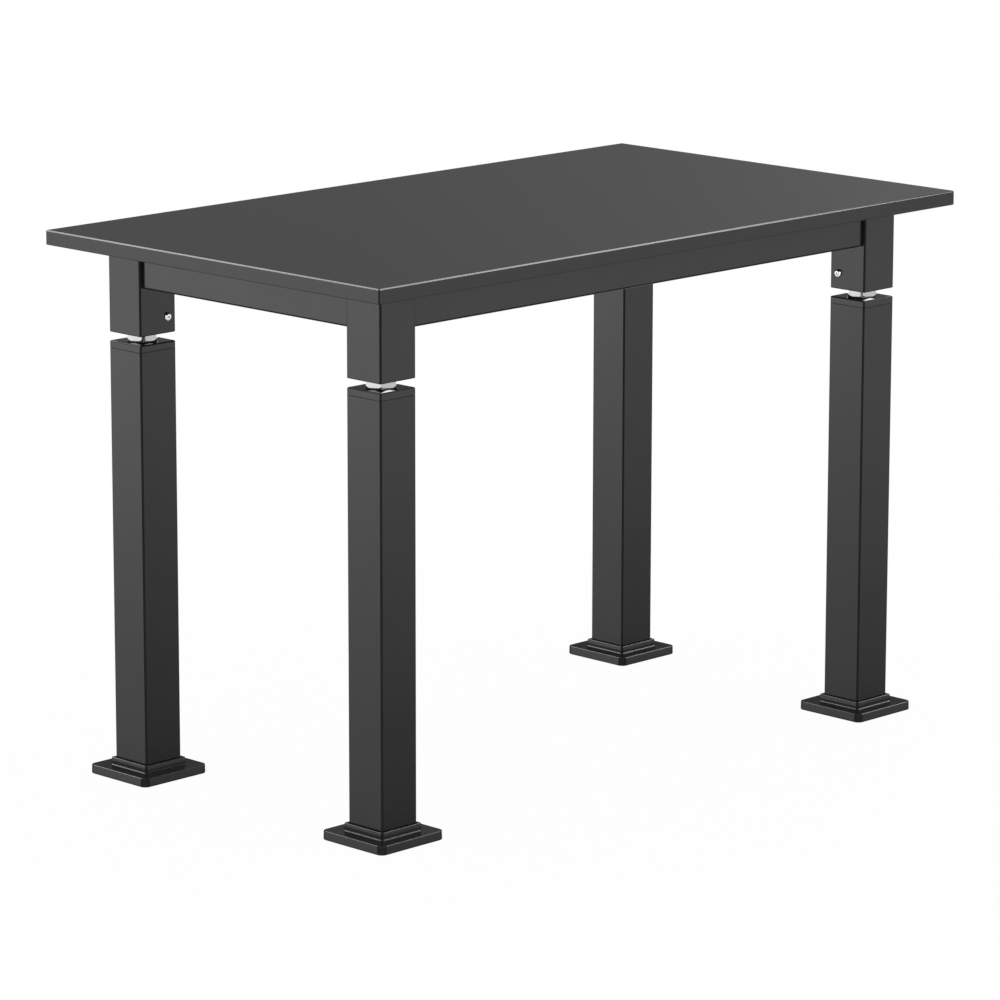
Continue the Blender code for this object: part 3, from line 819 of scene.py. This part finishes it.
def softbox(name, place, facing, size, radiance, share=1.0):
    """Area light with its radiance, as a mirror would show it, upwards and its share across."""
    upwards = stops_of(radiance)
    across = stops_of(share)
    width, height = size
    peak_up = max(level for _, level in upwards)
    peak_across = max(level for _, level in across)
    light = bpy.data.lights.new(name, "AREA")
    light.shape = "RECTANGLE"
    light.size = width
    light.size_y = height
    light.energy = peak_up * peak_across * math.pi * width * height
    light.use_nodes = True
    tree = light.node_tree
    place_on_light = tree.nodes.new("ShaderNodeNewGeometry")
    parts = tree.nodes.new("ShaderNodeSeparateXYZ")
    tree.links.new(place_on_light.outputs["Parametric"], parts.inputs["Vector"])
    by_height = grey_ramp(tree, parts.outputs["Y"], upwards, peak_up)
    by_width = grey_ramp(tree, parts.outputs["X"], across, peak_across)
    strength = maths(tree, "MULTIPLY", by_height, by_width)
    tree.links.new(strength, tree.nodes["Emission"].inputs["Strength"])
    lamp = bpy.data.objects.new(name, light)
    lamp.location = place
    lamp.rotation_mode = "QUATERNION"
    lamp.rotation_quaternion = Vector(facing).to_track_quat("-Z", "Y")
    lamp.visible_camera = False
    bpy.context.scene.collection.objects.link(lamp)
    return lamp


def make_lights():
    for lights, group in LIGHT_GROUPS:
        for name, settings in lights.items():
            lamp = softbox(name, *settings)
            if group is not None:
                lamp.light_linking.receiver_collection = PIECES[group]
    for cap_corner, (name, radiance) in CAP_CARDS.items():
        place = axis_of("leg_cap_" + cap_corner) + FORWARD * CAP_CARD_DISTANCE + UP * CAP_CARD_HEIGHT
        card = softbox(name, place, -FORWARD, CAP_CARD_SIZE, radiance)
        card.light_linking.receiver_collection = PIECES["card_pieces"]
    spared = PIECES["wall_spared"]
    bpy.data.objects["back_wall"].light_linking.receiver_collection = spared
    for item in spared.collection_objects:
        item.light_linking.link_state = "EXCLUDE"


def make_floor():
    """Pale sheet that fades out round the table and shows the camera only its shadows."""
    shape = bmesh.new()
    bmesh.ops.create_grid(shape, x_segments=1, y_segments=1, size=FLOOR_HALF)
    mesh = bpy.data.meshes.new("floor")
    shape.to_mesh(mesh)
    shape.free()
    floor = bpy.data.objects.new("floor", mesh)
    bpy.context.scene.collection.objects.link(floor)

    material = bpy.data.materials.new("floor_sheet")
    material.use_nodes = True
    tree = material.node_tree
    tree.nodes.clear()
    output = tree.nodes.new("ShaderNodeOutputMaterial")
    clear = tree.nodes.new("ShaderNodeBsdfTransparent")
    pale = tree.nodes.new("ShaderNodeBsdfDiffuse")
    pale.inputs["Color"].default_value = FLOOR_COLOUR
    place = tree.nodes.new("ShaderNodeNewGeometry")
    reach = tree.nodes.new("ShaderNodeVectorMath")
    reach.operation = "LENGTH"
    tree.links.new(place.outputs["Position"], reach.inputs[0])
    near = map_value(tree, reach.outputs["Value"], 1.0, 0.0, (FLOOR_CLEAR, FLOOR_END), "SMOOTHSTEP")
    rays = tree.nodes.new("ShaderNodeLightPath").outputs
    seen = map_value(tree, rays["Is Camera Ray"], 1.0, FLOOR_SHARE, (0, 1))
    unseen = maths(tree, "MAXIMUM", rays["Is Shadow Ray"], rays["Is Glossy Ray"])
    lit = maths(tree, "SUBTRACT", 1.0, unseen)
    amount = maths(tree, "MULTIPLY", maths(tree, "MULTIPLY", seen, lit), near)
    surface = mix_shaders(tree, amount, clear.outputs["BSDF"], pale.outputs["BSDF"])
    tree.links.new(surface, output.inputs["Surface"])
    mesh.materials.append(material)


def floor_glow(tree, depth, levels, depth_stretch, rise, rise_stretch):
    """Glow that passes from one level to another along the depth and fades out upwards."""
    along = map_value(tree, depth, levels[0], levels[1], depth_stretch)
    below = map_value(tree, rise, 1.0, 0.0, rise_stretch)
    return maths(tree, "MULTIPLY", along, below)


def make_world():
    """White to the camera, even in its fill, and to reflections a dim room with glows on its floor."""
    world = bpy.data.worlds.new("studio")
    bpy.context.scene.world = world
    world.use_nodes = True
    tree = world.node_tree
    tree.nodes.clear()
    output = tree.nodes.new("ShaderNodeOutputWorld")
    rays = tree.nodes.new("ShaderNodeLightPath").outputs
    direction = tree.nodes.new("ShaderNodeTexCoord").outputs["Generated"]
    along_view = tree.nodes.new("ShaderNodeVectorMath")
    along_view.operation = "DOT_PRODUCT"
    along_view.inputs[1].default_value = FORWARD
    tree.links.new(direction, along_view.inputs[0])
    depth = along_view.outputs["Value"]
    parts = tree.nodes.new("ShaderNodeSeparateXYZ")
    tree.links.new(direction, parts.inputs["Vector"])
    rise = parts.outputs["Z"]

    walls = map_value(tree, depth, WALLS_FRONT, WALLS_BACK, FRONT_TO_BACK)
    ground = map_value(tree, depth, BELOW_FRONT, BELOW_BACK, FRONT_TO_BACK)
    room = map_value(tree, rise, ground, walls, BELOW_TO_WALLS)
    ceiling = map_value(tree, rise, 0.0, ABOVE, WALLS_TO_ABOVE)
    behind = floor_glow(tree, depth, (0.0, BELOW_BEHIND), BEHIND_DEPTH, rise, BEHIND_RISE)
    steep = floor_glow(tree, depth, (BELOW_STEEP, 0.0), STEEP_DEPTH, rise, STEEP_RISE)
    level = maths(tree, "ADD", maths(tree, "ADD", room, ceiling), maths(tree, "ADD", behind, steep))

    fill = white_background(tree, WORLD_FILL)
    mirrored = mix_shaders(tree, rays["Is Glossy Ray"], fill, white_background(tree, level))
    shown = mix_shaders(tree, rays["Is Camera Ray"], mirrored, white_background(tree, 1.0))
    tree.links.new(shown, output.inputs["Surface"])


def make_camera():
    lens = bpy.data.cameras.new("camera")
    lens.lens = CAMERA_LENS
    lens.sensor_width = SENSOR_WIDTH
    lens.clip_end = CAMERA_REACH
    camera = bpy.data.objects.new("camera", lens)
    camera.location = CAMERA_PLACE
    camera.rotation_euler = (CAMERA_PITCH, CAMERA_ROLL, CAMERA_TURN)
    bpy.context.scene.collection.objects.link(camera)
    bpy.context.scene.camera = camera


MATERIALS = make_materials()
PIECES = {name: bpy.data.collections.new(name) for name in GROUP_NAMES}
make_worktop()
make_rails()
for corner in CORNERS:
    make_leg(corner)
finish_cad_nodes()
make_lights()
make_floor()
make_world()
make_camera()
bpy.context.scene.view_settings.view_transform = "Standard"
